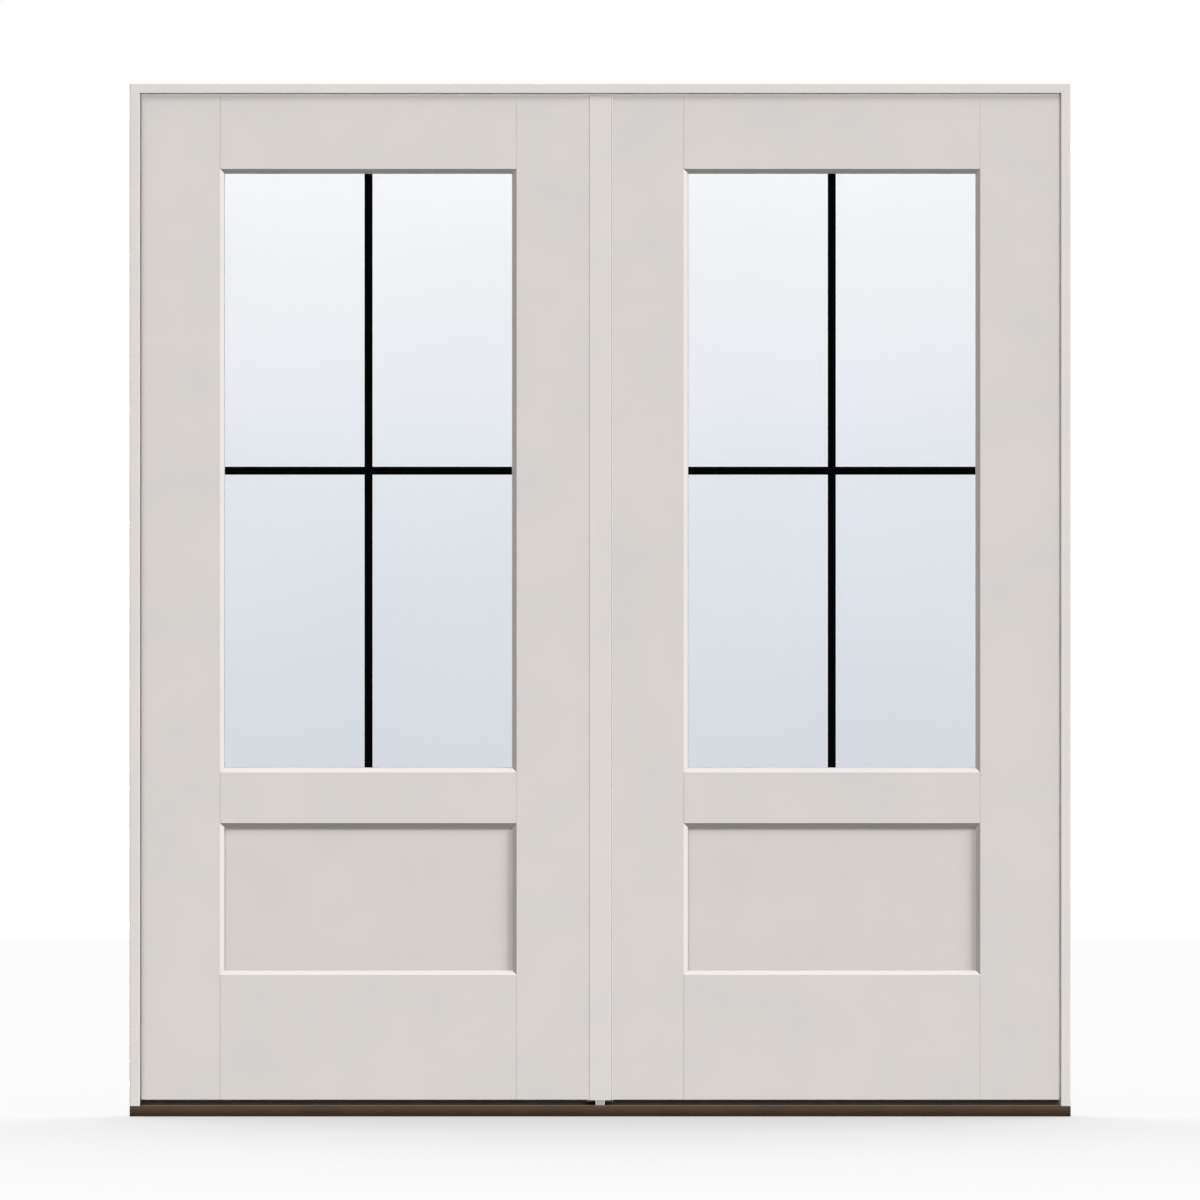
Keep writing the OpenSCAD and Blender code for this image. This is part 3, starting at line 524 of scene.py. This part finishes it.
# inputs 6 and 7 and output 2 are the mix's colours
matt = add(tree, "ShaderNodeMix", {
    "Factor": seen.outputs["Value"], 6: linear("#3c3c3c"), 7: linear("#bababa")}, data_type="RGBA")
tree.links.new(matt.outputs[2], shader.inputs["Base Color"])
shader.inputs["Emission Color"].default_value = WHITE
tree.links.new(glow.outputs["Value"], shader.inputs["Emission Strength"])
floor_mesh = bpy.data.meshes.new("floor")
floor_mesh.from_pydata([
    (x * FLOOR_REACH, y * FLOOR_REACH, -FLOOR_DROP) for x, y in ((-1, -1), (1, -1), (1, 1), (-1, 1))],
    [], [(0, 1, 2, 3)])
floor_mesh.materials.append(floor_finish)
floor = bpy.data.objects.new("floor", floor_mesh)
scene.collection.objects.link(floor)


def sun(name, towards, strength, spread):
    """A soft lamp that shines along the given direction, with its strength as seen on a face square to it
    and its spread in degrees."""
    data = bpy.data.lights.new(name, "SUN")
    data.energy = strength * math.pi
    data.angle = math.radians(spread)
    made = bpy.data.objects.new(name, data)
    made.rotation_mode = "QUATERNION"
    made.rotation_quaternion = Vector(towards).to_track_quat("-Z", "Y")
    scene.collection.objects.link(made)
    return made


def linked(name, objects, state):
    """A collection of things that a lamp takes in ("INCLUDE") or leaves out ("EXCLUDE")."""
    made = bpy.data.collections.new(name)
    for thing in objects:
        made.objects.link(thing)
    for item in made.collection_objects:
        item.light_linking.link_state = state
    return made


# The key and the fill come from the upper right. The sky, from the other side, gives the short soft shadow
# under the head. The rear lamp lights the inside.
key = sun("key", towards=(-1.5, 1.0, -1.0), strength=0.72, spread=30)
fill = sun("fill", towards=(-0.85, 1.0, -1.0), strength=0.59, spread=5)
sky = sun("sky", towards=(0.35, 1.0, -0.6), strength=0.28, spread=24)
rear = sun("rear", towards=(0.3, -1.0, -0.04), strength=0.95, spread=20)
# The weatherstrips lie in the corner of the frame and get an even light from low in front in place of the
# key and the fill.
strip_light = sun("strip_light", towards=(0.0, 1.0, 0.9), strength=1.2, spread=30)
strips = [nodes[f"{place}_weatherstrip"] for place in ("left", "right", "head")]
# None of these lights the floor. A lamp of its own gives it the one soft shadow at the sill.
back = sun("back", towards=(0.0, -0.7, -1.1), strength=0.58, spread=70)
off_floor = linked("all_but_floor", [floor], "EXCLUDE")
for lamp in (sky, rear):
    lamp.light_linking.receiver_collection = off_floor
for lamp in (key, fill):
    lamp.light_linking.receiver_collection = linked(
        lamp.name + "_on_all_but_floor_and_strips", [floor, *strips], "EXCLUDE")
strip_light.light_linking.receiver_collection = linked("strips_alone", strips, "INCLUDE")
# These two lie wholly or partly below the horizon and shine through the floor.
through_floor = linked("through_floor", [floor], "EXCLUDE")
for lamp in (strip_light, rear):
    lamp.light_linking.blocker_collection = through_floor
# The fill shows in no reflection, so that tops glare less.
fill.visible_glossy = False
back.light_linking.receiver_collection = linked("floor_alone", [floor], "INCLUDE")
# The key throws no shadow of the frame and the strip, and the fill none of the leaves' timber and sweeps
# either, so that the shadows on the panels and round the leaves are soft.
frame_pieces = [*strips, *[nodes[n] for n in ("left_jamb", "right_jamb", "head_jamb", "astragal_post")]]
leaf_pieces = [nodes[f"{side}_{name}"] for side in SIDES for name in (
    "hinge_stile", "meeting_stile", "top_rail", "lock_rail", "bottom_rail", "sweep")]
key.light_linking.blocker_collection = linked("no_key_shadow", frame_pieces, "EXCLUDE")
fill.light_linking.blocker_collection = linked("no_fill_shadow", frame_pieces + leaf_pieces, "EXCLUDE")
# The lamps behind the doors don't show as discs in the glass.
for lamp in (back, rear):
    lamp.visible_transmission = False

# Studio: heights and depths are those of a direction of length 1

# the far end, seen through the glass, pales from blue-grey near the ground to white between these heights
FAR_LOW, FAR_HIGH = -0.013, 0.033
FAR_COLOURS = ((0.0, "#dbdee4"), (0.5, "#e9ecf1"), (1.0, "#fefdff"))
FAR_STRENGTH = 1.13
# the soft light comes from the walls, less from the ceiling and not from the floor: its strength by height,
# from straight down at 0 to straight up at 1
SOFT_LIGHT = ((0.5, 0.0), (0.78, 0.30), (1.0, 0.04))
# polished things on the outside mirror the darker half, behind the camera
DARK_DEPTH, LIGHT_DEPTH, DARK_STRENGTH = -0.5, 0.2, 0.02

world = bpy.data.worlds.new("studio")
scene.world = world
world.use_nodes = True
tree = world.node_tree
tree.nodes.clear()
ray = add(tree, "ShaderNodeLightPath")
where = add(tree, "ShaderNodeTexCoord")
height = add(tree, "ShaderNodeSeparateXYZ", {"Vector": where.outputs["Generated"]})
rise = add(tree, "ShaderNodeMapRange", {
    "Value": height.outputs["Z"], "From Min": FAR_LOW, "From Max": FAR_HIGH})
beyond = add(tree, "ShaderNodeValToRGB", {"Fac": rise.outputs["Result"]})
beyond.color_ramp.elements.new(FAR_COLOURS[1][0])
for stop, (place, colour) in zip(beyond.color_ramp.elements, FAR_COLOURS):
    stop.position, stop.color = place, linear(colour)
facing = add(tree, "ShaderNodeMapRange", {
    "Value": height.outputs["Y"], "From Min": DARK_DEPTH, "From Max": LIGHT_DEPTH,
    "To Min": DARK_STRENGTH, "To Max": 1.0})
aloft = add(tree, "ShaderNodeMapRange", {"Value": height.outputs["Z"], "From Min": -1.0, "From Max": 1.0})
walls = add(tree, "ShaderNodeValToRGB", {"Fac": aloft.outputs["Result"]})
walls.color_ramp.elements.new(SOFT_LIGHT[1][0])
for stop, (place, strength) in zip(walls.color_ramp.elements, SOFT_LIGHT):
    stop.position, stop.color = place, (strength, strength, strength, 1.0)
ambient = add(tree, "ShaderNodeBackground", {
    "Color": linear("#f6f7fa"), "Strength": walls.outputs["Color"]})
white = add(tree, "ShaderNodeBackground", {"Color": WHITE, "Strength": 1.0})
mirrored = add(tree, "ShaderNodeBackground", {"Color": WHITE, "Strength": facing.outputs["Result"]})
far_end = add(tree, "ShaderNodeBackground", {"Color": beyond.outputs["Color"], "Strength": FAR_STRENGTH})
shown = ambient.outputs["Background"]
# The far end shows straight through the panes, and not in what lies between them. A depth is a whole number,
# so that less than a half is none.
bounced = add(tree, "ShaderNodeMath", {
    0: ray.outputs["Glossy Depth"], 1: ray.outputs["Diffuse Depth"]}, operation="ADD")
direct = add(tree, "ShaderNodeMath", {0: bounced.outputs["Value"], 1: 0.5}, operation="LESS_THAN")
through = add(tree, "ShaderNodeMath", {
    0: ray.outputs["Is Transmission Ray"], 1: direct.outputs["Value"]}, operation="MULTIPLY")
sharp = add(tree, "ShaderNodeMath", {
    0: ray.outputs["Is Glossy Ray"], 1: ray.outputs["Is Transmission Ray"]}, operation="MAXIMUM")
for share, light in ((sharp.outputs["Value"], mirrored), (ray.outputs["Is Camera Ray"], white),
                     (through.outputs["Value"], far_end)):
    shown = add(tree, "ShaderNodeMixShader", {
        0: share, 1: shown, 2: light.outputs["Background"]}).outputs["Shader"]
add(tree, "ShaderNodeOutputWorld", {"Surface": shown})

# Camera: level, far off and square to the doors, so that the picture is 2.4 m wide at their face. Metres,
# but for the sensor's width in mm.
AIM = Vector((-0.0003, -0.033, 1.033))
DISTANCE = 27.0
PICTURE_WIDTH = 2.4
SENSOR = 36.0
lens = bpy.data.cameras.new("camera")
lens.sensor_width = SENSOR
lens.lens = SENSOR * DISTANCE / PICTURE_WIDTH
lens.clip_end = 200.0
camera = bpy.data.objects.new("camera", lens)
camera.location = AIM - Vector((0, DISTANCE, 0))
camera.rotation_euler = (math.radians(90), 0, 0)
scene.collection.objects.link(camera)
scene.camera = camera
